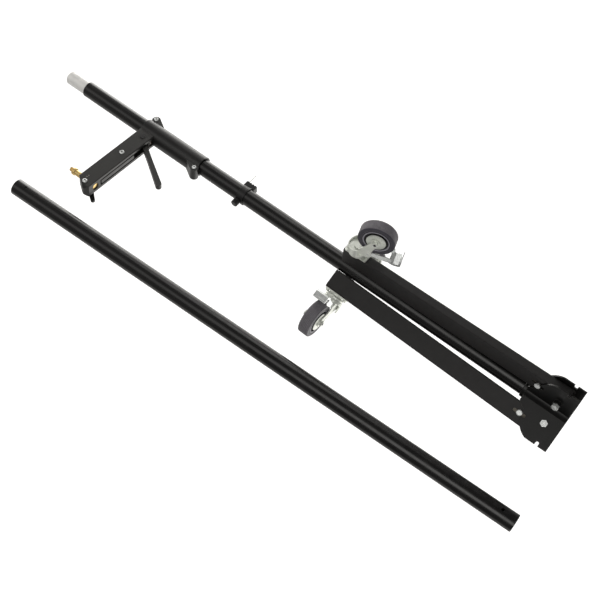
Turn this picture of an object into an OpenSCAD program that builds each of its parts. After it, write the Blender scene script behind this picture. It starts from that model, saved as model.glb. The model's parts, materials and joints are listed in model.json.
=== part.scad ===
// Folding wheeled column stand, shown folded: a plain round column on a
// three-legged base of bent plates, a sliding cantilever arm with a brass
// stud, a stop collar, and a loose extension tube beside the column.
// Origin: column axis at the flat underside of the base, +Z up the column.

/* [Tubes] */
// Outside diameter of the column and of the extension tube
tube_d = 35; // [34.5:0.1:35.4]
// Wall thickness of both tubes
tube_wall = 2; // [1.5:0.25:2.5]
// Length of the column tube
column_len = 1232; // [1150:1:1400]
// Length of the loose extension tube
extension_len = 1172; // [900:1:1400]
// Length of the spigot above the column
spigot_len = 54; // [40:1:70]

/* [Base] */
// Distance of each leg pivot from the column axis
pivot_r = 38; // [38:0.5:42]
// Height of each leg pivot
pivot_z = 32; // [32:0.5:36]
// Radius of the locking arc about the pivot
arc_r = 44.5; // [43.5:0.25:45]
// Plate thickness of the base brackets
plate_t = 3; // [2.5:0.5:4]
// Reach of the bracket toes from the column axis
toe_r = 80; // [78:1:86]

/* [Legs] */
// Tall side of the leg section
leg_h = 40; // [36:1:40]
// Narrow side of the leg section
leg_w = 20; // [18:0.5:20]
// Wall of the leg section
leg_wall = 2; // [1.5:0.25:2.5]
// Pivot to the tip of the leg
leg_len = 498; // [420:1:560]
// Lean of a folded leg towards the column
leg_tilt = 1.2; // [1.1:0.05:1.25]

/* [Casters] */
// Diameter of the caster wheels
wheel_d = 75; // [70:1:76]
// Width of the tyres
tyre_w = 24; // [20:0.5:24]
// Trail of the wheel behind the swivel axis
trail = 32; // [30:0.5:34]
// Swivel angle of caster a, b and c in the folded stand
swivel_a = 90; // [60:1:120]
swivel_b = 18.5; // [0:0.5:40]
swivel_c = 115; // [105:1:120]

/* [Arm] */
// Height of the top of the carriage
carriage_top = 1061; // [1000:1:1100]
// Length of the carriage sleeve
sleeve_len = 160; // [155:1:175]
// Outside diameter of the carriage sleeve
sleeve_d = 44; // [43:0.5:46]
// Direction of the arm about the column
arm_az = 212.3; // [200:0.1:230]
// Width of the arm
arm_w = 30; // [28:0.5:32]
// Height of the arm
arm_h = 37; // [35:0.5:40]
// Distance from the column axis to the stud
stud_r = 191; // [189:0.5:194]

/* [Collar] */
// Height of the stop collar's middle
collar_z = 790.6; // [760:0.2:810]

/* [Hidden] */
$fn = 48;

tube_r = tube_d / 2;
bore_r = tube_r - tube_wall;
col_bore = bore_r - 0.5;         // the column has a heavier wall
az = [180, 300, 60];
swivel = [swivel_a, swivel_b, swivel_c];
chan = leg_w / 2 + 0.5;          // inner face of the bracket wings
wing_o = chan + plate_t;         // outer face of the bracket wings
leg_i = -leg_h / 2 + 10.5;       // inner face of a leg, from its pivot
leg_o = leg_h / 2 + 10.5;        // outer face of a leg, from its pivot
boss_h = 8;                      // boss under the nut of leg b
pin_x = 10.5;                    // lock slot, from the pivot
pin_in = 37.2;                   // locked pin position along the leg
pin_out = 47;                    // released pin position along the leg
caster_z = leg_len - 27;         // swivel axis along the leg
axle_z = 66;                     // wheel axle below the mounting face
wheel_r = wheel_d / 2;
sleeve_r = sleeve_d / 2;
guide_r = 19;                    // bore of the sleeve
arm_z1 = carriage_top + 0.5;     // top of the arm
arm_z0 = arm_z1 - arm_h;         // underside of the arm
arm_m = (arm_z0 + arm_z1) / 2;
roll_r = 6;
roll_x = tube_r + 0.05 + roll_r; // roller axles from the column axis
roll_zt = carriage_top - 7;
roll_zb = carriage_top - sleeve_len + 4.5;
ext_foot = [-213.7, -111.7, -27];
ext_lean = 2.71;
ext_az = 224.2;

black = [0.12, 0.12, 0.12];
dark = [0.16, 0.155, 0.15];
zinc = [0.78, 0.79, 0.76];
brass_c = [0.86, 0.66, 0.30];
rubber_c = [0.34, 0.33, 0.37];

// ---------- helpers ----------
module ring(ro, ri, h) difference() { cylinder(r = ro, h = h); translate([0, 0, -1]) cylinder(r = ri, h = h + 2); }
module ycyl(r, y0, y1) translate([0, y0, 0]) rotate([-90, 0, 0]) cylinder(r = r, h = y1 - y0);
module hex(af, h) cylinder(d = af / cos(30), h = h, $fn = 6);
module yhex(af, y0, y1) translate([0, y0, 0]) rotate([-90, 0, 0]) hex(af, y1 - y0);
module rr(x0, x1, y0, y1, r) {
  translate([x0 + r, y0]) square([x1 - x0 - 2 * r, y1 - y0]);
  translate([x0, y0 + r]) square([x1 - x0, y1 - y0 - 2 * r]);
  for (x = [x0 + r, x1 - r], y = [y0 + r, y1 - r]) translate([x, y]) circle(r);
}
// extrude an X-Z outline across Y, from y0 to y1
module slab(y0, y1) translate([0, y1, 0]) rotate([90, 0, 0]) linear_extrude(y1 - y0) children();
module leg_at(i) rotate([0, 0, az[i]]) translate([pivot_r, 0, pivot_z]) rotate([0, -leg_tilt, 0]) children();
module caster_at(i) leg_at(i) translate([leg_o, 0, caster_z]) rotate([0, 90, 0]) children();
module swivel_at(i) caster_at(i) rotate([0, 0, swivel[i]]) children();
module arm_at() rotate([0, 0, arm_az]) children();
// helical spring: the flat cut through a round wire, swept up the coil
module coil(R, w, h, turns) linear_extrude(h, twist = -360 * turns, slices = turns * 14, segments = 10, $fn = 10)
  polygon([for (k = [0 : 9]) let (a = 36 * k, f = 360 * w * turns / h * cos(a)) (R + w * sin(a)) * [cos(f), sin(f)]]);

// ---------- column ----------
module column_tube() color(black) difference() {
  ring(tube_r, col_bore, column_len);
}
module column_spigot() color(zinc) translate([0, 0, column_len]) difference() {
  union() {
    translate([0, 0, -70]) cylinder(r = col_bore, h = 70);
    cylinder(r = bore_r - 0.1, h = spigot_len - 2.5);
    translate([0, 0, spigot_len - 2.5]) cylinder(r1 = bore_r - 0.1, r2 = bore_r - 2, h = 2.5, $fn = 96);
  }
  translate([0, 0, -71]) cylinder(r = bore_r - 3, h = spigot_len + 72);
}
module base_collar() color(dark) translate([0, 0, 93.5]) difference() {
  union() {
    cylinder(r = tube_r + 3, h = 5);
    translate([0, 0, 5]) cylinder(r1 = tube_r + 3, r2 = tube_r + 1.8, h = 1.2, $fn = 96);
  }
  translate([0, 0, -1]) cylinder(r = tube_r, h = 9);
}
module base_plug() color(black) {
  cylinder(r = col_bore, h = 18);
  translate([0, 0, 18]) cylinder(r1 = col_bore, r2 = col_bore - 1, h = 1, $fn = 96);
}

// ---------- base brackets ----------
// side profile of a wing, X from the column axis and Z up
module wing_profile() difference() {
  union() {
    translate([12, 0]) square([toe_r - 12, 17.7]);
    intersection() {
      translate([pivot_r, pivot_z]) circle(arc_r);
      translate([12, 0]) square([toe_r - 12, 90]);
    }
    translate([12, 0]) square([pivot_r - 12, pivot_z + 36]);
    polygon([[12, 60], [12, 93], [26, 93], [28.5, 90.5], [pivot_r + 2, pivot_z + 40], [pivot_r, 60]]);
  }
  // lock notches: folded, and legs spread
  translate([pivot_r, pivot_z]) rotate(leg_tilt) notch2();
  translate([pivot_r, pivot_z]) rotate(-90) notch2();
  translate([pivot_r, pivot_z]) circle(4.05);
}
module notch2() { translate([pin_x, pin_in]) circle(3.4); translate([pin_x - 3.4, pin_in]) square([6.8, 16]); }
module wing(s) slab(s > 0 ? chan : -wing_o, s > 0 ? wing_o : -chan) wing_profile();
module sector(a0, a1, r) polygon([[0, 0], for (k = [0 : 6]) r * [cos(a0 + (a1 - a0) * k / 6), sin(a0 + (a1 - a0) * k / 6)]]);
module bracket(i) color(black) rotate([0, 0, az[i]]) difference() {
  union() {
    wing(1);
    rotate([0, 0, 120]) wing(-1);
    // raised boss under one pivot nut
    if (i == 0) rotate([0, 0, 120]) translate([pivot_r, 0, pivot_z]) ycyl(8, -wing_o - boss_h, -wing_o + 0.5);
    linear_extrude(92.6) intersection() {
      circle(tube_r + plate_t);
      sector(asin(chan / tube_r) + 1, 119 - asin(chan / tube_r), 40);
    }
  }
  translate([0, 0, -1]) cylinder(r = tube_r, h = 120);
  if (i == 0) rotate([0, 0, 120]) translate([pivot_r, 0, pivot_z]) ycyl(4.05, -wing_o - boss_h - 1, -wing_o + 1);
}
module pivot_bolts() color(zinc) for (i = [0 : 2]) rotate([0, 0, az[i]]) translate([pivot_r, 0, pivot_z])
  mirror([0, i == 1 ? 1 : 0, 0]) {
    ycyl(4, -wing_o - 0.5, wing_o + 8 + (i == 1 ? boss_h : 0));
    yhex(13, -wing_o - 5.3, -wing_o);
  }
module pivot_nuts() color(zinc) for (i = [0 : 2]) rotate([0, 0, az[i]]) translate([pivot_r, 0, pivot_z])
  mirror([0, i == 1 ? 1 : 0, 0]) difference() {
    translate([0, i == 1 ? boss_h : 0, 0]) yhex(13, wing_o, wing_o + 6.5);
    ycyl(4, wing_o - 1, wing_o + 9 + boss_h);
  }

// ---------- legs ----------
module leg_tube(i) color(dark) leg_at(i) difference() {
  intersection() {
    translate([0, 0, -16]) linear_extrude(leg_len + 16 - 2) difference() {
      rr(leg_i, leg_o, -leg_w / 2, leg_w / 2, 2.5);
      rr(leg_i + leg_wall, leg_o - leg_wall, -leg_w / 2 + leg_wall, leg_w / 2 - leg_wall, 1);
    }
    union() { ycyl(31, -20, 20); translate([-40, -20, 0]) cube([80, 40, leg_len + 10]); }
  }
  ycyl(6, -20, 20);
  // lock slot in both sides
  slab(-20, 20) { translate([pin_x, pin_in - 1]) circle(3.2); translate([pin_x, 58]) circle(3.2); translate([pin_x - 3.2, pin_in - 1]) square([6.4, 59 - pin_in]); }
}
module leg_end_cap(i) color(black) leg_at(i) {
  translate([0, 0, leg_len - 2]) linear_extrude(2) rr(leg_i, leg_o, -leg_w / 2, leg_w / 2, 2.5);
  translate([0, 0, leg_len - 14]) linear_extrude(12.5) difference() {
    rr(leg_i + leg_wall, leg_o - leg_wall, -leg_w / 2 + leg_wall, leg_w / 2 - leg_wall, 1);
    rr(leg_i + leg_wall + 2, leg_o - leg_wall - 2, -leg_w / 2 + leg_wall + 2, leg_w / 2 - leg_wall - 2, 1);
  }
  // bumper that meets the column when the leg is folded
  translate([leg_i - 0.9, -6, leg_len - 40]) cube([0.9, 12, 20]);
}
module leg_inserts(i) color(zinc) leg_at(i) {
  difference() { ycyl(6, -leg_w / 2 - 0.2, leg_w / 2 + 0.2); ycyl(4.05, -30, 30); }
  // spring seat across the inside of the leg
  translate([pin_x - 6, -leg_w / 2 + leg_wall, 74]) cube([12, leg_w - 2 * leg_wall, 3]);
}
module leg_lock_pin(i) color(zinc) leg_at(i) translate([pin_x, 0, pin_out]) {
  ycyl(3, -wing_o - 1, wing_o + 1);
  // slider inside the leg
  translate([-6.5, -leg_w / 2 + leg_wall + 0.2, -14]) cube([13, leg_w - 2 * leg_wall - 0.4, 28]);
  for (s = [0, 1]) mirror([0, s, 0]) {
    ycyl(6, wing_o + 0.4, wing_o + 2.6);
    translate([0, wing_o + 2.6, 0]) rotate([-90, 0, 0]) cylinder(r1 = 6, r2 = 4.6, h = 1, $fn = 64);
  }
}
module leg_spring(i) color(zinc) leg_at(i) translate([pin_x, 0, pin_out + 14.3]) coil(4.6, 0.65, 74 - pin_out - 15, 4);

// ---------- casters ----------
module caster_mount(i) color(zinc) caster_at(i) {
  difference() {
    union() {
      linear_extrude(3) rr(-25, 25, -11, 11, 3);
      rotate_extrude() polygon([[0, 2], [15, 2], [15, 4.5], [19, 6], [20, 8], [20, 15], [17.5, 15], [17.5, 12], [9, 12], [9, 15], [0, 15]]);
      cylinder(r = 5, h = 24);
      translate([0, 0, 22.5]) cylinder(r = 9, h = 2.5);
    }
  }
  for (x = [-21, 21]) translate([x, 0, 3]) cylinder(r = 3.6, h = 3.4);
}
module cheek_profile() {
  polygon([[2, 17.5], [2, 33], [24, axle_z - 2.1], [trail, axle_z], [40.9, axle_z - 2.1], [31, axle_z - 20], [27.5, 36], [27.5, 24], [26, 17.5]]);
  translate([trail, axle_z]) circle(9.2);
}
module caster_fork(i) color(zinc) swivel_at(i) difference() {
  union() {
    // lower race
    translate([0, 0, 15.5]) cylinder(r = 22, h = 3.5);
    translate([-19, -17, 17.5]) cube([36, 34, 4.2]);
    slab(14.5, 17) cheek_profile();
    slab(-17, -14.5) cheek_profile();
    // round skirt of the crown, deeper towards the wheel
    intersection() {
      translate([0, 0, 16]) ring(22, 19.6, 20);
      slab(-30, 30) polygon([[-30, 15], [3, 15], [3, 34], [-22, 25], [-30, 25]]);
    }
  }
  translate([0, 0, 10]) cylinder(r = 5.05, h = 30);
  translate([trail, 0, axle_z]) ycyl(3.55, -30, 30);
  translate([22, 0, 26]) ycyl(2.05, -30, 30);
}
module caster_axle(i) color(zinc) swivel_at(i) translate([trail, 0, axle_z]) {
  ycyl(3.5, -21, 22.5);
  yhex(11, -21.6, -17);
  yhex(11, 17.2, 22);
  for (s = [0, 1]) mirror([0, s, 0]) difference() {
    union() { ycyl(19.5, tyre_w / 2 + 0.5, tyre_w / 2 + 1.5); ycyl(8, tyre_w / 2 + 1.5, 14.5); }
    ycyl(3.5, 0, 30);
  }
}
module caster_wheel(i) color([0.2, 0.2, 0.21]) swivel_at(i) translate([trail, 0, axle_z]) rotate([-90, 0, 0])
  rotate_extrude() polygon([[3.55, -10.5], [9, -12], [19.8, -12], [20, -8.5], [24, -8.5], [24.6, -12], [26.5, -12], [26.5, 12],
    [24.6, 12], [24, 8.5], [20, 8.5], [19.8, 12], [9, 12], [3.55, 10.5]]);
module caster_tyre(i) color(rubber_c) swivel_at(i) translate([trail, 0, axle_z]) rotate([-90, 0, 0])
  rotate_extrude() difference() {
    union() {
      translate([26.5, -tyre_w / 2]) square([wheel_r - 29.5, tyre_w]);
      translate([26.5, -tyre_w / 2 + 3]) square([wheel_r - 26.5, tyre_w - 6]);
      for (s = [-1, 1]) translate([wheel_r - 3, s * (tyre_w / 2 - 3)]) circle(3);
    }
    translate([0, -20]) square([26.5, 40]);
  }
module caster_brake(i) color(zinc) swivel_at(i) {
  translate([22, 0, 26]) ycyl(2, -17, 17);
  for (s = [0, 1]) mirror([0, s, 0]) slab(12.4, 14.2) {
    translate([22, 26]) circle(4.5);
    polygon([[22, 21.6], [58, 18.5], [66, 19.5], [70, 24], [69, 29], [62, 31.5], [24, 30]]);
    translate([31, 24.4]) circle(3.4);
  }
  translate([31, 0, 24.4]) ycyl(2, -12.5, 12.5);
  translate([22, 0, 26]) ycyl(3, -12.5, 12.5);
  // tread of the pedal, bent up at its outer end
  slab(-14.2, 14.2) polygon([[62, 19.2], [72, 15], [84, 15], [87.5, 18], [88.5, 29], [86.5, 31], [84.5, 29], [83.5, 20.5], [73, 19.5], [64, 23]]);
  // raised ribs on the pedal
  for (k = [0 : 2]) slab(-10.5, 10.5) translate([86.4 + 0.5 * k, 19 + 3.6 * k]) circle(1);
}

// ---------- carriage ----------
module lug_profile(x, z, dir) {
  translate([x, z]) circle(9.3);
  polygon([[10, z - dir * 5], [x + 4, z - dir * 5], [x + 9.3, z], [x + 8.6, z + dir * 3.4], [18, z + dir * 27], [10, z + dir * 27]]);
}
module carriage_sleeve() color(dark) arm_at() difference() {
  union() {
    translate([0, 0, carriage_top - sleeve_len]) ring(sleeve_r, 16, sleeve_len);
    intersection() {
      slab(-14, 14) lug_profile(roll_x, roll_zb, 1);
      translate([0, -20, 860]) cube([60, 40, 220]);
    }
    intersection() {
      rotate([0, 0, 180]) slab(-14, 14) lug_profile(roll_x, roll_zt, -1);
      translate([-60, -20, 860]) cube([60, 40, carriage_top - 860 + 1.6]);
    }
  }
  translate([0, 0, 800]) cylinder(r = guide_r, h = 400);
  for (p = [[roll_x, roll_zb], [-roll_x, roll_zt]]) {
    translate([p[0], 0, p[1]]) ycyl(7.6, -6.4, 6.4);
    translate([p[0], 0, p[1]]) ycyl(2.5, -30, 30);
  }
  // brake window
  translate([10, -8.3, arm_m - 16]) cube([30, 16.6, 22]);
}
module carriage_bushes() color([0.85, 0.84, 0.8]) for (z = [carriage_top - 82, carriage_top - sleeve_len + 22])
  translate([0, 0, z]) ring(guide_r - 0.05, tube_r + 0.06, 34);
module roller() rotate([-90, 0, 0]) rotate_extrude() difference() {
  translate([2.55, -6]) square([roll_r + 1.2 - 2.55, 12]);
  translate([roll_x, 0]) circle(tube_r + 0.05);
}
module roller_top() color(black) arm_at() translate([-roll_x, 0, roll_zt]) roller();
module roller_bottom() color(black) arm_at() translate([roll_x, 0, roll_zb]) roller();
module roller_axles() color(zinc) arm_at() for (p = [[roll_x, roll_zb], [-roll_x, roll_zt]]) translate([p[0], 0, p[1]]) {
  difference() {
    union() {
      ycyl(2.5, -18.5, 14);
      ycyl(4.8, 14, 16.2);
      translate([0, 16.2, 0]) rotate([-90, 0, 0]) cylinder(r1 = 4.8, r2 = 3.4, h = 1, $fn = 64);
      yhex(8, -18, -14);
    }
    translate([0, 15.2, 0]) yhex(3, 0, 4);
  }
}

// ---------- arm ----------
arm_e = stud_r + 18;   // end of the side walls
// the sloping top of the arm's end
module arm_slope() slab(-30, 30) polygon([[stud_r + 9, arm_z1 + 2], [stud_r + 9, arm_z1], [arm_e + 8.6, arm_z1 - 26.5], [arm_e + 30, arm_z1 - 26.5], [arm_e + 30, arm_z1 + 2]]);
module arm_section() difference() {
  rr(-arm_w / 2, arm_w / 2, arm_z0, arm_z1, 1.6);
  // inside of the channel, open underneath between two lips
  translate([-9.5, arm_z0 + 4]) square([19, arm_h - 12]);
  translate([-8, arm_z0 - 1]) square([16, 8]);
}
module arm_beam() color(dark) arm_at() difference() {
  union() {
    translate([14, 0, 0]) rotate([90, 0, 90]) linear_extrude(arm_e - 14) arm_section();
    // stiffening rib along the channel
    translate([78, -4.5, arm_z0 + 0.2]) cube([stud_r - 17 - 78, 9, arm_h - 5]);
    // seat of the brake spring
    translate([30.6, -9.6, arm_z0 + 1]) cube([1.4, 19.2, 6.8]);
  }
  cylinder(r = sleeve_r, h = 1300);
  for (p = [[95.4, arm_m - 1], [stud_r + 12.4, arm_m - 1]]) translate([p[0], 0, p[1]]) {
    ycyl(3, -40, 40);
    ycyl(5.4, arm_w / 2 - 0.8, 40);
  }
  arm_slope();
  translate([33, 0, arm_m - 1]) { ycyl(4, -40, 40); ycyl(6.6, arm_w / 2 - 0.6, 40); }
  // stud bore and its clamp and set screws
  translate([stud_r, 0, arm_m]) cylinder(r = 8.05, h = 60);
  translate([stud_r, 0, arm_m - 1]) ycyl(4, -40, 0);
  for (x = [-3, 2]) translate([stud_r + x, 0, arm_m + 3]) ycyl(1.5, 8, 40);
}
module arm_end_block() color(black) arm_at() difference() {
  union() {
    translate([stud_r - 14, 0, 0]) rotate([90, 0, 90]) linear_extrude(arm_e - stud_r + 14) {
      translate([-9.4, arm_z0 + 4.1]) square([18.8, arm_h - 12.2]);
      translate([-7.9, arm_z0 + 0.4]) square([15.8, 8]);
    }
    // nose with bevelled edges
    translate([arm_e, 0, 0]) linear_extrude(arm_z1) polygon([[0, -arm_w / 2], [3, -arm_w / 2], [8, -arm_w / 2 + 5.5], [8, arm_w / 2 - 5.5], [3, arm_w / 2], [0, arm_w / 2]]);
  }
  cylinder(r = 400, h = arm_z0);
  arm_slope();
  translate([arm_e + 8, -30, arm_z0]) rotate([0, 45, 0]) translate([-5, 0, -5]) cube([10, 60, 10]);
  translate([arm_e + 8, -30, arm_z1]) rotate([0, 45, 0]) translate([-2, 0, -2]) cube([4, 60, 4]);
  translate([stud_r, 0, 900]) cylinder(r = 8.05, h = 300);
  translate([stud_r, 0, arm_m - 1]) ycyl(4, -40, 0);
  translate([stud_r + 12.4, 0, arm_m - 1]) ycyl(3, -40, 40);
}
module arm_screws() color(zinc) arm_at() {
  for (x = [95.4, stud_r + 12.4]) translate([x, 0, arm_m - 1]) difference() {
    union() {
      ycyl(3, -arm_w / 2, arm_w / 2 - 0.8);
      ycyl(5.2, arm_w / 2 - 0.8, arm_w / 2 + 1);
      translate([0, arm_w / 2 + 1, 0]) rotate([-90, 0, 0]) cylinder(r1 = 5.2, r2 = 3.6, h = 1.1, $fn = 64);
    }
    translate([0, arm_w / 2, 0]) yhex(3.6, 0, 4);
  }
  for (x = [-3, 2]) translate([stud_r + x, 0, arm_m + 3]) ycyl(1.5, 9.5, arm_w / 2 + 0.2);
}
module stud() color(brass_c) arm_at() translate([stud_r, 0, 0]) {
  translate([0, 0, arm_z0 + 3]) cylinder(r = 8, h = arm_h - 3.5);
  translate([0, 0, arm_z1 - 0.6]) cylinder(r = 6, h = 19.6);
  translate([0, 0, arm_z1 + 18.4]) cylinder(r1 = 6.6, r2 = 8, h = 1, $fn = 64);
  translate([0, 0, arm_z1 + 19.4]) cylinder(r = 8, h = 5.6);
  translate([0, 0, arm_z1 + 25]) cylinder(r1 = 8, r2 = 7, h = 0.8, $fn = 64);
  translate([0, 0, arm_z1 + 25]) cylinder(r = 4.76, h = 8);
  translate([0, 0, arm_z1 + 33]) cylinder(r1 = 4.76, r2 = 3.8, h = 1, $fn = 64);
}
module stud_lock_lever() color(black) arm_at() translate([stud_r, -arm_w / 2, arm_m - 1]) {
  ycyl(3.95, -1, 6.9);
  ycyl(7, -9, -0.4);
  // handle, outwards and down
  slab(-9, -3.5) rotate(-54) {
    translate([0, -3.6]) square([30, 7.2]);
    translate([31, 0]) circle(4.4);
    polygon([[6, -5.6], [31, -4.4], [31, 4.4], [6, 5.6]]);
  }
}
module release_lever() color(black) arm_at() translate([33, 0, arm_m - 1]) difference() {
  union() {
    ycyl(6.4, -6, 6);
    // nose against the brake shoe
    slab(-6, 6) polygon([[-8.2, -3], [0, -6.4], [0, 6.4], [-5.5, 3.3], [-8.2, 0]]);
    rotate([0, 57.5, 0]) {
      slab(-6, 6) polygon([[0, -5.6], [60, -5], [128, -6.2], [128, 6.2], [60, 5], [0, 5.6]]);
      translate([128, 0, 0]) ycyl(6.2, -6, 6);
    }
  }
  ycyl(4.05, -10, 10);
}
module lever_pin() color(black) arm_at() translate([33, 0, arm_m - 1]) {
  ycyl(4, -arm_w / 2, arm_w / 2 - 0.6);
  ycyl(6.4, arm_w / 2 - 0.6, arm_w / 2 + 1);
}
module brake_shoe() color([0.45, 0.32, 0.2]) arm_at() difference() {
  translate([14, -7.6, arm_m - 15.5]) cube([10.7, 15.2, 21]);
  cylinder(r = tube_r + 0.05, h = 1300);
}
module brake_spring() color(zinc) arm_at() translate([25.5, 0, arm_z0 + 4.4]) rotate([0, 90, 0]) coil(2.6, 0.5, 5, 3);

// ---------- stop collar ----------
module collar_at() translate([0, 0, collar_z]) rotate([0, 0, 205]) children();
module stop_collar() color(black) collar_at() difference() {
  union() {
    translate([0, 0, -9]) cylinder(r = tube_r + 1.4, h = 15);
    translate([0, 0, -11]) cylinder(r = tube_r + 2.4, h = 4);
    // boss for the thumb screw
    rotate([0, 90, 0]) cylinder(r = 5.5, h = tube_r + 2);
    // clamp block on the far side
    translate([-tube_r - 10, -8, -14.4]) cube([13, 16, 26]);
    for (k = [0 : 3]) translate([-tube_r - 11.2, -8, -12.6 + 6.4 * k]) cube([2, 16, 3.2]);
  }
  translate([0, 0, -20]) cylinder(r = tube_r + 0.06, h = 40);
  rotate([0, 90, 0]) cylinder(r = 3.05, h = 60);
  translate([-tube_r - 14, 0, 9.5]) rotate([0, 90, 0]) cylinder(r = 0.8, h = 9);
}
module collar_knob() color(black) collar_at() rotate([0, 90, 0]) {
  translate([0, 0, tube_r + 0.2]) cylinder(r = 3, h = 5);
  translate([0, 0, tube_r + 2.1]) cylinder(r = 4.6, h = 1.6);
  translate([0, 0, tube_r + 2.7]) difference() {
    union() {
      cylinder(r = 7.6, h = 10);
      translate([0, 0, 10]) cylinder(r1 = 7.6, r2 = 6.6, h = 1, $fn = 64);
    }
    for (a = [0 : 30 : 330]) rotate([0, 0, a]) translate([8.3, 0, -1]) cylinder(r = 1.3, h = 14);
  }
}
module collar_pin() color(zinc) collar_at() {
  translate([-tube_r - 36, 0, 9.5]) rotate([0, 90, 0]) cylinder(r = 0.8, h = 30.5);
}

// ---------- loose extension tube ----------
module ext_at() translate(ext_foot) rotate([0, ext_lean, ext_az]) children();
module extension_tube() color(black) ext_at() difference() {
  ring(tube_r, bore_r, extension_len);
  for (z = [30, extension_len - 26]) translate([0, 0, z]) rotate([0, 0, -56 - ext_az]) rotate([0, 90, 0]) cylinder(r = 3.25, h = 30);
}

column_tube();
column_spigot();
base_collar();
base_plug();
bracket(0);  // bracket_ab
bracket(1);  // bracket_bc
bracket(2);  // bracket_ca
pivot_bolts();
pivot_nuts();
leg_tube(0);  // leg_a_tube
leg_end_cap(0);  // leg_a_end_cap
leg_inserts(0);  // leg_a_inserts
leg_lock_pin(0);  // leg_a_lock_pin
leg_spring(0);  // leg_a_spring
leg_tube(1);  // leg_b_tube
leg_end_cap(1);  // leg_b_end_cap
leg_inserts(1);  // leg_b_inserts
leg_lock_pin(1);  // leg_b_lock_pin
leg_spring(1);  // leg_b_spring
leg_tube(2);  // leg_c_tube
leg_end_cap(2);  // leg_c_end_cap
leg_inserts(2);  // leg_c_inserts
leg_lock_pin(2);  // leg_c_lock_pin
leg_spring(2);  // leg_c_spring
caster_mount(0);  // caster_a_mount
caster_fork(0);  // caster_a_fork
caster_axle(0);  // caster_a_axle
caster_wheel(0);  // caster_a_wheel
caster_tyre(0);  // caster_a_tyre
caster_brake(0);  // caster_a_brake
caster_mount(1);  // caster_b_mount
caster_fork(1);  // caster_b_fork
caster_axle(1);  // caster_b_axle
caster_wheel(1);  // caster_b_wheel
caster_tyre(1);  // caster_b_tyre
caster_brake(1);  // caster_b_brake
caster_mount(2);  // caster_c_mount
caster_fork(2);  // caster_c_fork
caster_axle(2);  // caster_c_axle
caster_wheel(2);  // caster_c_wheel
caster_tyre(2);  // caster_c_tyre
caster_brake(2);  // caster_c_brake
carriage_sleeve();
carriage_bushes();
roller_top();
roller_bottom();
roller_axles();
arm_beam();
arm_screws();
arm_end_block();
stud();
stud_lock_lever();
release_lever();
lever_pin();
brake_shoe();
brake_spring();
stop_collar();
collar_knob();
collar_pin();
extension_tube();
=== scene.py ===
import bpy, bmesh, math, json, random
from mathutils import Vector, Matrix


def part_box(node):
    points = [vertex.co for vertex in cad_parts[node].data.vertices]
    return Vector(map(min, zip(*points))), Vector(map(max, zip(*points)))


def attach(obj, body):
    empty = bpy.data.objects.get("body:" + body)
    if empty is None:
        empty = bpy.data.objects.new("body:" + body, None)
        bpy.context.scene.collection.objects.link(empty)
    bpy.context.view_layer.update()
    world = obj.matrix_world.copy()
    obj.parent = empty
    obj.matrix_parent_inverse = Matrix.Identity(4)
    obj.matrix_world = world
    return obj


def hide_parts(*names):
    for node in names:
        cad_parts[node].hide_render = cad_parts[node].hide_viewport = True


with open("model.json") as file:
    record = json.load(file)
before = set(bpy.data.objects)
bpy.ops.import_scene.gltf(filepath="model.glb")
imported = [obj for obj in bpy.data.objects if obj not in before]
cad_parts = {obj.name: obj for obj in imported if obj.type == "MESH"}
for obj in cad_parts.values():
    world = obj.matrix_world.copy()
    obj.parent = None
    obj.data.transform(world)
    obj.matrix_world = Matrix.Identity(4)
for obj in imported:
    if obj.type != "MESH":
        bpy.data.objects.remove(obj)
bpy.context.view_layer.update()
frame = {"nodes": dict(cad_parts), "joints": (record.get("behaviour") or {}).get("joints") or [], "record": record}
N = frame["nodes"]
J = {j["name"]: j for j in frame["joints"]}
REC = frame["record"]
MOUNT = {m["name"]: m for m in REC["mounts"]}
random.seed(7)
sc = bpy.context.scene
MM = 0.001

# ------------------------------------------------------------------ node helpers
def nt_new(name):
    m = bpy.data.materials.new(name)
    m.use_nodes = True
    nt = m.node_tree
    nt.nodes.clear()
    out = nt.nodes.new("ShaderNodeOutputMaterial")
    bs = nt.nodes.new("ShaderNodeBsdfPrincipled")
    nt.links.new(bs.outputs[0], out.inputs[0])
    return m, nt, bs, out


def link(nt, a, b):
    nt.links.new(a, b)


def texco(nt, scale=(1, 1, 1), rot=(0, 0, 0)):
    tc = nt.nodes.new("ShaderNodeTexCoord")
    mp = nt.nodes.new("ShaderNodeMapping")
    mp.inputs["Scale"].default_value = scale
    mp.inputs["Rotation"].default_value = rot
    link(nt, tc.outputs["Object"], mp.inputs["Vector"])
    return mp.outputs["Vector"]


def noise(nt, vec, scale, detail=4.0, rough=0.55, dist=0.0):
    n = nt.nodes.new("ShaderNodeTexNoise")
    n.inputs["Scale"].default_value = scale
    n.inputs["Detail"].default_value = detail
    n.inputs["Roughness"].default_value = rough
    n.inputs["Distortion"].default_value = dist
    link(nt, vec, n.inputs["Vector"])
    return n.outputs["Fac"]


def ramp(nt, fac, stops):
    r = nt.nodes.new("ShaderNodeValToRGB")
    while len(r.color_ramp.elements) < len(stops):
        r.color_ramp.elements.new(0.5)
    for e, (p, c) in zip(r.color_ramp.elements, stops):
        e.position = p
        e.color = (*c, 1) if len(c) == 3 else c
    link(nt, fac, r.inputs["Fac"])
    return r.outputs["Color"]


def maprange(nt, v, a, b, c, d, smooth=False):
    m = nt.nodes.new("ShaderNodeMapRange")
    if smooth:
        m.interpolation_type = "SMOOTHSTEP"
    for i, x in zip(("From Min", "From Max", "To Min", "To Max"), (a, b, c, d)):
        m.inputs[i].default_value = x
    link(nt, v, m.inputs["Value"])
    return m.outputs["Result"]


def math_(nt, op, a, b=None, clamp=False):
    m = nt.nodes.new("ShaderNodeMath")
    m.operation = op
    m.use_clamp = clamp
    for i, x in enumerate((a, b)):
        if x is None:
            continue
        if isinstance(x, (int, float)):
            m.inputs[i].default_value = x
        else:
            link(nt, x, m.inputs[i])
    return m.outputs[0]


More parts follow.
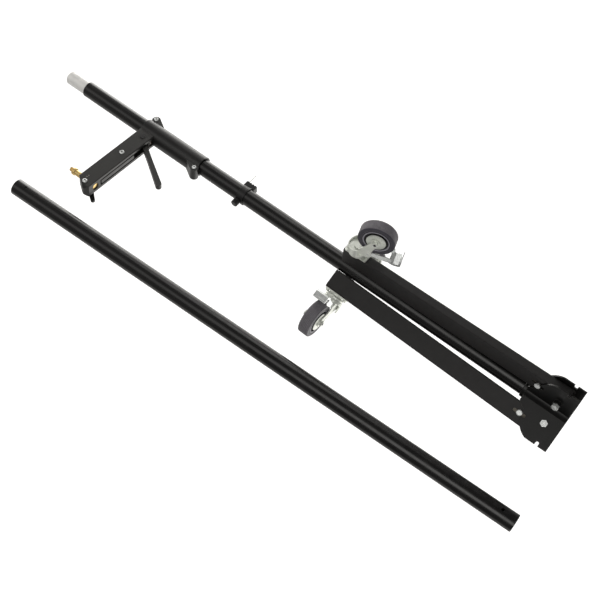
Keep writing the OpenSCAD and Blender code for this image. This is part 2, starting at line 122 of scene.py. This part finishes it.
def mix(nt, fac, a, b):
    m = nt.nodes.new("ShaderNodeMix")
    m.data_type = "RGBA"
    for sock, x in ((m.inputs[0], fac), (m.inputs[6], a), (m.inputs[7], b)):
        if isinstance(x, (int, float)):
            sock.default_value = x
        elif isinstance(x, tuple):
            sock.default_value = (*x, 1)
        else:
            link(nt, x, sock)
    return m.outputs[2]


def edge_mask(nt, radius=0.0012, lo=0.02, hi=0.30):
    """Bright where an edge is sharp: the rounded normal against the true one."""
    bv = nt.nodes.new("ShaderNodeBevel")
    bv.samples = 4
    bv.inputs["Radius"].default_value = radius
    geo = nt.nodes.new("ShaderNodeNewGeometry")
    vm = nt.nodes.new("ShaderNodeVectorMath")
    vm.operation = "DOT_PRODUCT"
    link(nt, bv.outputs[0], vm.inputs[0])
    link(nt, geo.outputs["Normal"], vm.inputs[1])
    inv = math_(nt, "SUBTRACT", 1.0, vm.outputs["Value"], clamp=True)
    return maprange(nt, inv, lo, hi, 0, 1)


def bump(nt, bs, heights, round_r=0.0004):
    """heights: (socket, strength, distance) chained on a rounded-edge normal."""
    bv = nt.nodes.new("ShaderNodeBevel")
    bv.samples = 4
    bv.inputs["Radius"].default_value = round_r
    last = bv.outputs[0]
    for h, st, di in heights:
        b = nt.nodes.new("ShaderNodeBump")
        b.inputs["Strength"].default_value = st
        b.inputs["Distance"].default_value = di
        link(nt, h, b.inputs["Height"])
        link(nt, last, b.inputs["Normal"])
        last = b.outputs[0]
    link(nt, last, bs.inputs["Normal"])


def painted(name, dark, light, rough, grain=900.0, grain_h=0.00005, grain_s=0.5, wear_and_highlight_col=(0.10, 0.095, 0.09),
            wear_and_highlight_amt=0.35, streak=0.0, spec=0.5, edge=0.0010, coat=0.0):
    """Powder coat or paint: blotchy colour, orange peel or cast grain, dust, and lighter sharp edges that are partly
    worn edges and partly a painted edge highlight.
    """
    m, nt, bs, out = nt_new(name)
    v = texco(nt)
    big = noise(nt, v, 9, 5, 0.6, 0.4)
    mid = noise(nt, v, 70, 4, 0.6)
    col = mix(nt, maprange(nt, big, 0.3, 0.7, 0, 1), dark, light)
    if streak > 0:
        vs = texco(nt, (260, 260, 3.0))
        st = noise(nt, vs, 1.0, 3, 0.5)
        stm = math_(nt, "MULTIPLY", maprange(nt, st, 0.45, 0.8, 0, 1), streak, clamp=True)
        col = mix(nt, stm, col, tuple(min(1, c * 1.8 + 0.004) for c in light))
    # fine dust caught in the finish
    du = noise(nt, v, 420, 2, 0.5)
    dum = math_(nt, "MULTIPLY", maprange(nt, du, 0.66, 0.80, 0, 1), 0.10, clamp=True)
    col = mix(nt, dum, col, (0.16, 0.155, 0.15))
    # partly painted highlight: sharp edges are mixed toward the lighter edge colour, partly as real worn edges and
    # partly as a painted edge highlight
    em = edge_mask(nt, edge)
    wear_and_highlight_mask = math_(nt, "MULTIPLY", em, math_(nt, "MULTIPLY", maprange(nt, mid, 0.42, 0.66, 0.15, 1.0), wear_and_highlight_amt), clamp=True)
    col = mix(nt, wear_and_highlight_mask, col, wear_and_highlight_col)
    link(nt, col, bs.inputs["Base Color"])
    r = math_(nt, "ADD", maprange(nt, mid, 0.3, 0.7, rough - 0.05, rough + 0.06), math_(nt, "MULTIPLY", maprange(nt, big, 0.35, 0.65, -1, 1), 0.03))
    link(nt, r, bs.inputs["Roughness"])
    bs.inputs["Specular IOR Level"].default_value = spec
    bs.inputs["Coat Weight"].default_value = coat
    bs.inputs["Coat Roughness"].default_value = 0.2
    g = noise(nt, v, grain, 3, 0.6)
    bump(nt, bs, [(g, grain_s, grain_h), (mid, 0.12, 0.0001)], max(edge * 0.5, 0.0003))
    return m


def metal(name, base, tint, rough, scale_b=(1, 1, 1), spangle=0.0, edge_highlight_col=(0.95, 0.95, 0.93), brushed=0.25, metal=1.0):
    m, nt, bs, out = nt_new(name)
    bs.inputs["Metallic"].default_value = metal
    v = texco(nt)
    big = noise(nt, v, 45, 5, 0.6, 0.6)
    fine = noise(nt, v, 620, 3, 0.6)
    col = mix(nt, maprange(nt, big, 0.35, 0.68, 0, 1), base, tint)
    if spangle > 0:
        vo = nt.nodes.new("ShaderNodeTexVoronoi")
        vo.inputs["Scale"].default_value = 260
        link(nt, v, vo.inputs["Vector"])
        col = mix(nt, math_(nt, "MULTIPLY", maprange(nt, vo.outputs["Distance"], 0.1, 0.7, 0, 1), spangle), col, tuple(c * 0.72 for c in base))
    # grime settles where the finish is dull
    gr = maprange(nt, noise(nt, v, 130, 5, 0.7), 0.60, 0.78, 0, 0.35)
    col = mix(nt, gr, col, tuple(c * 0.45 for c in tint))
    # painted highlight: sharp edges are mixed toward a near-white colour (pale gold on brass)
    em = edge_mask(nt, 0.0007)
    col = mix(nt, math_(nt, "MULTIPLY", em, 0.6), col, edge_highlight_col)
    link(nt, col, bs.inputs["Base Color"])
    r = math_(nt, "ADD", maprange(nt, big, 0.3, 0.7, rough - 0.07, rough + 0.08), maprange(nt, fine, 0.35, 0.65, -0.03, 0.05), clamp=True)
    link(nt, r, bs.inputs["Roughness"])
    br = noise(nt, texco(nt, scale_b), 1.0, 2, 0.5)
    bump(nt, bs, [(br, brushed, 0.00003), (fine, 0.10, 0.00003)], 0.0003)
    return m


def rubber(name, dark, light, rough, grain=700.0, dusty=(0.30, 0.29, 0.31), dust_amt=0.2):
    m, nt, bs, out = nt_new(name)
    v = texco(nt)
    big = noise(nt, v, 30, 5, 0.6, 0.3)
    fine = noise(nt, v, grain, 3, 0.6)
    col = mix(nt, maprange(nt, big, 0.35, 0.65, 0, 1), dark, light)
    sp = math_(nt, "MULTIPLY", maprange(nt, noise(nt, v, 260, 4, 0.7), 0.5, 0.75, 0, 1), dust_amt, clamp=True)
    col = mix(nt, sp, col, dusty)
    em = edge_mask(nt, 0.0012)
    col = mix(nt, math_(nt, "MULTIPLY", em, 0.35), col, dusty)
    link(nt, col, bs.inputs["Base Color"])
    link(nt, maprange(nt, fine, 0.3, 0.7, rough - 0.06, rough + 0.08), bs.inputs["Roughness"])
    bs.inputs["Specular IOR Level"].default_value = 0.45
    bump(nt, bs, [(fine, 0.35, 0.00006), (big, 0.15, 0.0002)], 0.0004)
    return m


# ------------------------------------------------------------------ materials
M = {}
M["tube"] = painted("tube_black", (0.0042, 0.0040, 0.0041), (0.0068, 0.0063, 0.0062), 0.24, 1400, 0.00002, 0.15,
                    wear_and_highlight_col=(0.07, 0.066, 0.062), wear_and_highlight_amt=0.40, streak=0.30, spec=0.58, edge=0.0008)
M["leg"] = painted("leg_black", (0.0110, 0.0102, 0.0102), (0.0150, 0.0140, 0.0140), 0.50, 1000, 0.00005, 0.35,
                   wear_and_highlight_col=(0.06, 0.058, 0.055), wear_and_highlight_amt=0.30, spec=0.40, edge=0.0014)
M["plate"] = painted("plate_black", (0.0030, 0.0030, 0.0030), (0.0052, 0.0051, 0.0050), 0.33, 900, 0.00004, 0.30,
                     wear_and_highlight_col=(0.20, 0.195, 0.18), wear_and_highlight_amt=0.60, spec=0.34, edge=0.0009)
M["cast"] = painted("cast_black", (0.0120, 0.0116, 0.0106), (0.0185, 0.0178, 0.0160), 0.42, 620, 0.00012, 0.65,
                    wear_and_highlight_col=(0.12, 0.115, 0.10), wear_and_highlight_amt=0.40, spec=0.52, edge=0.0010)
M["sleeve"] = painted("sleeve_black", (0.0075, 0.0072, 0.0072), (0.0120, 0.0115, 0.0110), 0.34, 900, 0.00006, 0.45,
                      wear_and_highlight_col=(0.10, 0.096, 0.086), wear_and_highlight_amt=0.35, spec=0.56, edge=0.0010)
M["plastic"] = painted("moulded_black", (0.0048, 0.0048, 0.0050), (0.0085, 0.0083, 0.0082), 0.40, 1100, 0.00005, 0.4,
                       wear_and_highlight_col=(0.05, 0.05, 0.048), wear_and_highlight_amt=0.35, spec=0.50, edge=0.0009)
M["zinc"] = metal("zinc_plate", (0.80, 0.82, 0.76), (0.66, 0.69, 0.63), 0.34, (900, 900, 40), spangle=0.22, metal=0.55)
M["zinc_bright"] = metal("zinc_bright", (0.86, 0.88, 0.87), (0.76, 0.78, 0.78), 0.22, (700, 700, 700), spangle=0.10, metal=0.70)
M["zinc_dull"] = metal("zinc_dull", (0.16, 0.145, 0.12), (0.11, 0.10, 0.085), 0.45, (500, 500, 500), spangle=0.10, metal=0.8)
M["spigot"] = metal("spigot_grey", (0.90, 0.893, 0.87), (0.80, 0.795, 0.775), 0.46, (30, 30, 2600), brushed=0.6, metal=0.25)
M["brass"] = metal("brass_turned", (0.92, 0.68, 0.30), (0.84, 0.58, 0.21), 0.24, (60, 60, 2400),
                   edge_highlight_col=(1.0, 0.84, 0.50), brushed=0.45, metal=0.72)
M["tyre_side"] = rubber("tyre_side", (0.034, 0.031, 0.043), (0.050, 0.046, 0.061), 0.44, dust_amt=0.10)
M["tyre_tread"] = rubber("tyre_tread", (0.115, 0.108, 0.122), (0.155, 0.147, 0.162), 0.62, dusty=(0.26, 0.25, 0.27), dust_amt=0.30)
M["core"] = rubber("core_lavender", (0.26, 0.25, 0.29), (0.34, 0.33, 0.37), 0.42, dusty=(0.50, 0.49, 0.52), dust_amt=0.2)
M["core_black"] = rubber("core_black", (0.006, 0.006, 0.007), (0.010, 0.010, 0.011), 0.48, dust_amt=0.03)
M["acetal"] = rubber("acetal", (0.62, 0.60, 0.55), (0.70, 0.68, 0.63), 0.38, dusty=(0.5, 0.48, 0.44), dust_amt=0.1)
M["lining"] = rubber("brake_lining", (0.06, 0.036, 0.022), (0.09, 0.055, 0.033), 0.70, dusty=(0.2, 0.16, 0.13), dust_amt=0.3)

BY = {}
for n in N:
    if n in ("column_tube", "extension_tube"): k = "tube"
    elif n == "column_spigot": k = "spigot"
    elif n.startswith("bracket") or n == "base_collar": k = "plate"
    elif n.startswith("leg_") and n.endswith("_tube"): k = "leg"
    elif n.endswith("end_cap") or n in ("base_plug", "stop_collar", "collar_knob", "roller_top", "roller_bottom", "stud_lock_lever", "arm_end_block"): k = "plastic"
    elif n.endswith("_tyre"): k = "tyre_side"
    elif n.endswith("_wheel"): k = "core"
    elif n == "carriage_sleeve": k = "sleeve"
    elif n in ("arm_beam", "release_lever"): k = "cast"
    elif n == "carriage_bushes": k = "acetal"
    elif n == "stud": k = "brass"
    elif n == "brake_shoe": k = "lining"
    elif n in ("brake_spring", "leg_a_spring", "leg_b_spring", "leg_c_spring"): k = "zinc_dull"
    elif n == "lever_pin": k = "plastic"
    elif n in ("arm_screws", "roller_axles", "pivot_bolts", "pivot_nuts") or n.endswith("_brake"): k = "zinc_bright"
    else: k = "zinc"
    BY[n] = k


def set_mat(o, m):
    if not o.material_slots:
        o.data.materials.append(m)
    for s in o.material_slots:
        s.material = m


for n, o in N.items():
    set_mat(o, M[BY[n]])


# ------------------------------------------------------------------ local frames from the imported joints
def fr(origin, x, y, z):
    m = Matrix.Identity(4)
    for i, v in enumerate((x, y, z, origin)):
        for r in range(3):
            m[r][i] = v[r]
    return m


def jv(name, key):
    return Vector(J[name][key])


CAST = {}
for k in "abc":
    z = jv(f"caster_{k}_swivel", "axis").normalized()
    y = jv(f"caster_{k}_roll", "axis").normalized()
    x = y.cross(z).normalized()
    CAST[k] = fr(jv(f"caster_{k}_swivel", "pos_m") - z * 0.010, x, y, z)
LEG = {}
for k in "abc":
    z = jv(f"leg_{k}_lock", "axis").normalized()
    y = jv(f"leg_{k}_fold", "axis").normalized()
    LEG[k] = fr(jv(f"leg_{k}_fold", "pos_m"), y.cross(z).normalized(), y, z)
ay = jv("roller_top_spin", "axis").normalized()
ARM = fr(Vector((0, 0, 0)), ay.cross(Vector((0, 0, 1))), ay, Vector((0, 0, 1)))

# ------------------------------------------------------------------ mesh helpers
def new_obj(name, verts, faces, m, body, smooth=True, mats=None, fmat=None, angle=35):
    me = bpy.data.meshes.new(name)
    me.from_pydata([tuple(v) for v in verts], [], faces)
    me.validate()
    o = bpy.data.objects.new(name, me)
    sc.collection.objects.link(o)
    for mm in (mats or [m]):
        me.materials.append(mm)
    if fmat:
        for p, i in zip(me.polygons, fmat):
            p.material_index = i
    bm = bmesh.new()
    bm.from_mesh(me)
    bmesh.ops.recalc_face_normals(bm, faces=bm.faces)
    bm.to_mesh(me)
    bm.free()
    if smooth:
        for p in me.polygons:
            p.use_smooth = True
        me.set_sharp_from_angle(angle=math.radians(angle))
    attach(o, body)
    return o


def lathe(profile, seg=96, close=True):
    """profile: (r, h) points, closed loop; axis +Z. Returns verts, faces, ring index per face."""
    v, f, idx = [], [], []
    n = len(profile)
    for i in range(seg):
        a = 2 * math.pi * i / seg
        for r, h in profile:
            v.append(Vector((r * math.cos(a), r * math.sin(a), h)))
    for i in range(seg):
        j = (i + 1) % seg
        for k in range(n if close else n - 1):
            l = (k + 1) % n
            f.append((i * n + k, j * n + k, j * n + l, i * n + l))
            idx.append(k)
    return v, f, idx


def place(verts, mat):
    return [mat @ v for v in verts]


def T(x, y, z):
    return Matrix.Translation(Vector((x * MM, y * MM, z * MM)))


def R(deg, ax):
    return Matrix.Rotation(math.radians(deg), 4, ax)



# ------------------------------------------------------------------ faces of CAD nodes that take another material
def by_face(node, mats, pick):
    """mats: material list; pick(centre, normal) gives the index."""
    o = N[node]
    me = o.data
    while len(me.materials) < len(mats):
        me.materials.append(None)
    for i, m in enumerate(mats):
        me.materials[i] = m
    for p in me.polygons:
        p.material_index = pick(p.center, p.normal)


def axis_dist(c, mat):
    q = mat @ c
    return math.hypot(q.x, q.z), q.y


for k in "abc":
    AX = (CAST[k] @ T(32, 0, (jv(f"caster_{k}_roll", "pos_m") - CAST[k].translation).dot(CAST[k].col[2].xyz) / MM)).inverted()
    by_face(f"caster_{k}_wheel", [M["core"], M["core_black"]],
            lambda c, n, AX=AX: 0 if axis_dist(c, AX)[0] > 0.0243 else 1)
WHEEL = {k: fr(jv(f"caster_{k}_roll", "pos_m"), CAST[k].col[0].xyz, CAST[k].col[1].xyz, CAST[k].col[2].xyz) for k in "abc"}
Y2Z = R(-90, "X")       # lathe axis onto local Y


# ------------------------------------------------------------------ tyres with a grooved tread
def tyre(k):
    hw, ro, ri = 12.0, 37.45, 26.5
    prof = [(ri, -hw + 0.05), (27.6, -hw), (28.3, -hw + 0.55), (29.4, -hw + 0.6), (30.0, -hw), (33.4, -hw)]
    for a in range(-80, -9, 14):
        prof.append((ro - 3.2 + 3.2 * math.cos(math.radians(a)), -hw + 3.2 + 3.2 * math.sin(math.radians(a))))
    for g in (-6.0, -3.0, 0.0, 3.0, 6.0):
        prof += [(ro, g - 0.42), (ro - 0.55, g - 0.18), (ro - 0.55, g + 0.18), (ro, g + 0.42)]
    half = [q for q in prof if q[1] < -hw + 3.4]
    prof += [(r, -h) for r, h in reversed(half)]
    v, f, idx = lathe([(r * MM, h * MM) for r, h in prof], 144)
    n = len(prof)
    mi = []
    for i in idx:
        a, b = prof[i], prof[(i + 1) % n]
        mi.append(1 if min(a[0], b[0]) > 36.2 and abs(a[1] + b[1]) / 2 < 10.6 else 0)
    o = new_obj(f"tyre_moulding_{k}", place(v, WHEEL[k] @ Y2Z), f, None, f"wheel_{k}",
                mats=[M["tyre_side"], M["tyre_tread"]], fmat=mi, angle=40)
    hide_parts(f"caster_{k}_tyre")


# pressed hub cover on both sides of the wheel, inside the fork cheeks
def hub(k):
    for s, side in ((-1, "l"), (1, "r")):
        prof = [(3.7, 13.55), (8.2, 13.75), (9.2, 14.25), (10.2, 14.3), (11.4, 13.9), (15.6, 13.75), (16.6, 14.1), (17.6, 14.1),
                (18.8, 13.75), (19.45, 13.2), (19.45, 12.7), (3.7, 12.7)]
        v, f, idx = lathe([(r * MM, h * MM) for r, h in prof], 96)
        if s < 0:
            v = [Vector((q.x, -q.y, -q.z)) for q in v]
        new_obj(f"hub_cover_{side}_{k}", place(v, WHEEL[k] @ Y2Z), f, M["zinc"], f"fork_{k}", angle=30)


# rolled lip of the swivel cup
def lip(k):
    prof = [(20.02, 11.2), (20.9, 11.4), (21.7, 12.2), (22.0, 13.2), (21.9, 15.1), (21.3, 15.38), (20.02, 15.38)]
    v, f, idx = lathe([(r * MM, h * MM) for r, h in prof], 96)
    new_obj(f"swivel_lip_{k}", place(v, CAST[k]), f, M["zinc"], f"leg_{k}", angle=30)
    # painted shade: a dark ring fills the gap between the cup and the turning race, where the gap lies in shade
    prof = [(15.0, 15.03), (19.9, 15.03), (19.9, 15.46), (15.0, 15.46)]
    v, f, idx = lathe([(r * MM, h * MM) for r, h in prof], 64)
    new_obj(f"swivel_gap_shade_{k}", place(v, CAST[k]), f, M["core_black"], f"leg_{k}", angle=30)


for k in "abc":
    tyre(k)
    hub(k)
    lip(k)


# ------------------------------------------------------------------ threads
def thread(r_root, r_crest, pitch, z0, z1, seg=48, step=8, cap=True, chamfer=0.0):
    """A real helix: radius as a function of height and angle."""
    rows = int(math.ceil((z1 - z0) / pitch * step)) + 1
    v, f = [], []
    for i in range(rows):
        z = z0 + (z1 - z0) * i / (rows - 1)
        top = 1.0 if chamfer <= 0 else min(1.0, (z1 - z) / chamfer)
        for j in range(seg):
            a = 2 * math.pi * j / seg
            t = ((z - z0) / pitch - j / seg) % 1.0
            tri = 1 - abs(2 * t - 1)
            tri = min(1.0, max(0.0, (tri - 0.12) / 0.76))
            r = (r_root + (r_crest - r_root) * tri) * (0.86 + 0.14 * top)
            v.append(Vector((r * math.cos(a) * MM, r * math.sin(a) * MM, z * MM)))
    for i in range(rows - 1):
        for j in range(seg):
            l = (j + 1) % seg
            f.append((i * seg + j, i * seg + l, (i + 1) * seg + l, (i + 1) * seg + j))
    if cap:
        f.append(tuple(reversed(range(seg))))
        f.append(tuple(range((rows - 1) * seg, rows * seg)))
    return v, f


# brass stud: turned body and a true thread at the tip
zt = (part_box("stud")[1][2] - 0.0) / MM
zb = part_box("stud")[0][2] / MM
sp = jv("stud_turn", "pos_m")
top = zt - 34.0                                   # top face of the arm
prof = [(0.0, zb), (7.6, zb), (8.0, zb + 0.5), (8.0, top - 0.7), (7.6, top - 0.25), (6.15, top - 0.2), (6.0, top + 0.3), (6.0, top + 6.1),
        (5.75, top + 6.4), (5.75, top + 7.1), (6.0, top + 7.4), (6.0, top + 18.0), (6.5, top + 18.5), (7.6, top + 19.1), (8.0, top + 19.6),
        (8.0, top + 21.4), (7.72, top + 21.7), (7.72, top + 22.2), (8.0, top + 22.5), (8.0, top + 24.7), (7.6, top + 25.5), (5.2, top + 25.85),
        (4.3, top + 25.9), (4.3, top + 26.4), (0.0, top + 26.4)]
v, f, idx = lathe([(r * MM, h * MM) for r, h in prof], 96, close=False)
SP = fr(Vector((sp.x, sp.y, 0)), ARM.col[0].xyz, ARM.col[1].xyz, Vector((0, 0, 1)))
tv, tf = thread(4.05, 4.76, 1.5875, top + 26.0, zt, 56, 10, chamfer=1.2)
off = len(v)
v = v + tv
f = f + [tuple(i + off for i in q) for q in tf]
o = new_obj("stud_turned", place(v, SP), f, M["brass"], "stud", angle=38)
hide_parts("stud")

# thread ends of the three pivot bolts
for k, sgn in (("a", 1), ("b", -1), ("c", 1)):
    up_b = 8.0 if k == "b" else 0.0            # leg b's nut stands on the bracket's boss
    tv, tf = thread(3.95, 4.35, 1.25, 20.1 + up_b, 21.45 + up_b, 40, 8, chamfer=0.5)
    m = LEG[k] @ (R(-90, "X") if sgn > 0 else R(90, "X"))
    new_obj(f"pivot_bolt_thread_{k}", place(tv, m), tf, M["zinc_bright"], "stand", angle=38)

# chamfered hexagons: a small bevel on the fastener nodes
for n in ("pivot_bolts", "pivot_nuts", "caster_a_axle", "caster_b_axle", "caster_c_axle", "arm_screws", "roller_axles"):
    o = N[n]
    w = o.modifiers.new("weld", "WELD")
    w.merge_threshold = 0.000002
    b = o.modifiers.new("chamfer", "BEVEL")
    b.width = 0.00045
    b.segments = 2
    b.limit_method = "ANGLE"
    b.angle_limit = math.radians(38)
    b.use_clamp_overlap = True


# painted shade: the hex socket faces of the arm screws and the top centres of the roller axles take black, and the
# parts in the lock slots (the middle of each leg's lock pin, the slider patch of the arm screws node) take dark dull
# zinc
INV_ARM = ARM.inverted()


sz = jv("release_lever_squeeze", "pos_m").z / MM
screws = [(95.4, sz), (203.4, sz)]


def pick_screws(c, n):
    q = INV_ARM @ c
    for x, z in screws:
        if math.hypot(q.x / MM - x, q.z / MM - z) < 1.95 and q.y > 0.0120:
            return 1
    if q.y > 0.0 and abs(q.x / MM - 190.5) < 5 and q.z / MM > sz + 1.5:
        return 2
    return 0


by_face("arm_screws", [M["zinc_bright"], M["core_black"], M["zinc_dull"]], pick_screws)


# painted shade: roller axle faces near the axis, on the top side, take black
def pick_rollers(c, n):
    q = INV_ARM @ c
    for jn in ("roller_top_spin", "roller_bottom_spin"):
        a = INV_ARM @ jv(jn, "pos_m")
        if math.hypot(q.x - a.x, q.z - a.z) < 0.00162 and q.y > 0.0120:
            return 1
    return 0


by_face("roller_axles", [M["zinc_bright"], M["core_black"]], pick_rollers)
# painted shade: the middle of each lock pin, inside the leg's slot, takes dark dull zinc
for k in "abc":
    iv = LEG[k].inverted()
    by_face(f"leg_{k}_lock_pin", [M["zinc_bright"], M["zinc_dull"]], lambda c, n, iv=iv: 1 if abs((iv @ c).y) < 0.0082 else 0)

# painted shade: a thin black hexagon on each end of the caster axle stands in for the shaded socket recess of the axle
# screw
for k in "abc":
    for s_ in (-1, 1):
        prof = [(0.0, 0.0), (1.9, 0.0), (2.3, 0.25), (3.0, 0.3), (3.0, -0.3), (0.0, -0.3)]
        h = -21.75 if s_ < 0 else 22.65
        v, f, idx = lathe([(r * MM, q * MM) for r, q in prof], 6, close=False)
        v = [Vector((q.x, q.y, -q.z if s_ < 0 else q.z)) for q in v]
        v = [q + Vector((0, 0, h * MM)) for q in v]
        new_obj(f"axle_socket_shade_{'near' if s_ < 0 else 'far'}_{k}", place(v, WHEEL[k] @ Y2Z), f, M["core_black"], f"fork_{k}", smooth=False)

# ------------------------------------------------------------------ camera and light
cam_d = bpy.data.cameras.new("camera")
cam_d.sensor_width = 36
cam_d.lens = 60
cam_d.clip_start = 0.05
cam_d.clip_end = 50
cam = bpy.data.objects.new("camera", cam_d)
sc.collection.objects.link(cam)
right = Vector((0.57408812, 0.22973369, -0.78590411))
down = Vector((-0.81874847, 0.15099775, -0.55394099))
fwd = Vector((-0.00858916, 0.96146872, 0.27478013))
cam.matrix_world = fr(Vector((-0.09418, -1.93994, 0.0045)), right, -down, -fwd)
sc.camera = cam

sc.view_settings.view_transform = "Standard"
sc.view_settings.look = "None"
sc.view_settings.exposure = 0
sc.view_settings.gamma = 1

w = bpy.data.worlds.new("studio")
sc.world = w
w.use_nodes = True
nt = w.node_tree
nt.nodes.clear()
wo = nt.nodes.new("ShaderNodeOutputWorld")
tc = nt.nodes.new("ShaderNodeTexCoord")
sep = nt.nodes.new("ShaderNodeSeparateXYZ")
link(nt, tc.outputs["Generated"], sep.inputs[0])
negy = math_(nt, "MULTIPLY", sep.outputs["Y"], -1.0)
at = nt.nodes.new("ShaderNodeMath")
at.operation = "ARCTAN2"
link(nt, sep.outputs["X"], at.inputs[0])
link(nt, negy, at.inputs[1])
psi = math_(nt, "MULTIPLY", at.outputs[0], 180 / math.pi)   # 0 towards the camera side, + towards +X
zz = sep.outputs["Z"]


def window(v, a, b, soft):
    up = maprange(nt, v, a - soft, a + soft, 0, 1, True)
    dn = maprange(nt, v, b - soft, b + soft, 1, 0, True)
    return math_(nt, "MULTIPLY", up, dn)


def lobe(a, b, soft, z0, z1, zs, strength):
    return math_(nt, "MULTIPLY", math_(nt, "MULTIPLY", window(psi, a, b, soft), window(zz, z0, z1, zs)), strength)


LOBES = [
    (-30, 0, 8, -0.70, 0.15, 0.09, 1.9),      # overhead box near the camera, low part
    (-28, 4, 8, 0.12, 0.90, 0.10, 0.55),
    (50, 84, 7, 0.17, 0.40, 0.07, 1.7),       # long box on the far side
    (88, 140, 10, 0.42, 0.95, 0.06, 2.2),     # white set behind, upper edge of the tubes
    (97, 190, 9, 0.15, 0.95, 0.08, 1.9),
    (97, 190, 9, -0.90, 0.15, 0.10, 0.30),
    (-190, -92, 12, -0.9, 0.9, 0.2, 0.42),    # white set behind, lower edge
    (140, 190, 14, -0.95, -0.18, 0.08, 1.3),  # white set low behind, seen in undersides
    (-190, -140, 14, -0.95, -0.18, 0.08, 1.3),
]
total = None
for L in LOBES:
    s = lobe(*L)
    total = s if total is None else math_(nt, "ADD", total, s)
# general fill, brighter from above and below
fill = math_(nt, "ADD", 0.07, math_(nt, "MULTIPLY", math_(nt, "ABSOLUTE", zz), 0.30))
total = math_(nt, "ADD", total, fill)
lp = nt.nodes.new("ShaderNodeLightPath")
bg1 = nt.nodes.new("ShaderNodeBackground")
bg1.inputs["Color"].default_value = (1.0, 0.985, 0.955, 1)
link(nt, total, bg1.inputs["Strength"])
bg2 = nt.nodes.new("ShaderNodeBackground")
bg2.inputs["Color"].default_value = (1, 1, 1, 1)
bg2.inputs["Strength"].default_value = 1.0
mx = nt.nodes.new("ShaderNodeMixShader")
link(nt, lp.outputs["Is Camera Ray"], mx.inputs[0])
link(nt, bg1.outputs[0], mx.inputs[1])
link(nt, bg2.outputs[0], mx.inputs[2])
link(nt, mx.outputs[0], wo.inputs[0])


def area(name, loc, target, size, power, col=(1, 1, 1)):
    d = bpy.data.lights.new(name, "AREA")
    d.shape = "RECTANGLE"
    d.size, d.size_y = size
    d.energy = power
    d.color = col
    o = bpy.data.objects.new(name, d)
    sc.collection.objects.link(o)
    o.location = loc
    o.rotation_euler = (Vector(target) - Vector(loc)).to_track_quat("-Z", "Y").to_euler()
    o.visible_glossy = False
    return o


area("key", (0.9, -1.6, 1.6), (0, 0, 0.6), (1.6, 1.6), 7, (1, 0.99, 0.97))
area("fill_left", (-1.5, -1.2, 0.2), (0, 0, 0.5), (1.2, 1.6), 3.5, (0.97, 0.98, 1.0))

# floor: pale, parallel to the long axis, well behind the object, open from its back
fm, fnt, fbs, fout = nt_new("floor_pale")
fbs.inputs["Base Color"].default_value = (0.9, 0.9, 0.9, 1)
fbs.inputs["Roughness"].default_value = 0.8
fv = texco(fnt)
fn = noise(fnt, fv, 40, 3, 0.5)
link(fnt, mix(fnt, fn, (0.88, 0.88, 0.88), (0.92, 0.92, 0.92)), fbs.inputs["Base Color"])
fbs.inputs["Emission Color"].default_value = (1, 1, 1, 1)
fbs.inputs["Emission Strength"].default_value = 0.62
geo = fnt.nodes.new("ShaderNodeNewGeometry")
tr = fnt.nodes.new("ShaderNodeBsdfTransparent")
fmx = fnt.nodes.new("ShaderNodeMixShader")
link(fnt, geo.outputs["Backfacing"], fmx.inputs[0])
link(fnt, fbs.outputs[0], fmx.inputs[1])
link(fnt, tr.outputs[0], fmx.inputs[2])
link(fnt, fmx.outputs[0], fout.inputs[0])
up = Vector((0.5, -0.8660254, 0))
side = Vector((0.8660254, 0.5, 0))
pc = up * -0.60 + Vector((0, 0, 0.6))
me = bpy.data.meshes.new("floor")
s = 4.0
me.from_pydata([pc - side * s - Vector((0, 0, s)), pc + side * s - Vector((0, 0, s)),
                pc + side * s + Vector((0, 0, s)), pc - side * s + Vector((0, 0, s))], [], [(0, 1, 2, 3)])
floor = bpy.data.objects.new("floor", me)
sc.collection.objects.link(floor)
me.materials.append(fm)
if me.polygons[0].normal.dot(up) < 0:
    me.flip_normals()
floor.visible_glossy = False
floor.visible_diffuse = False
floor.visible_shadow = False
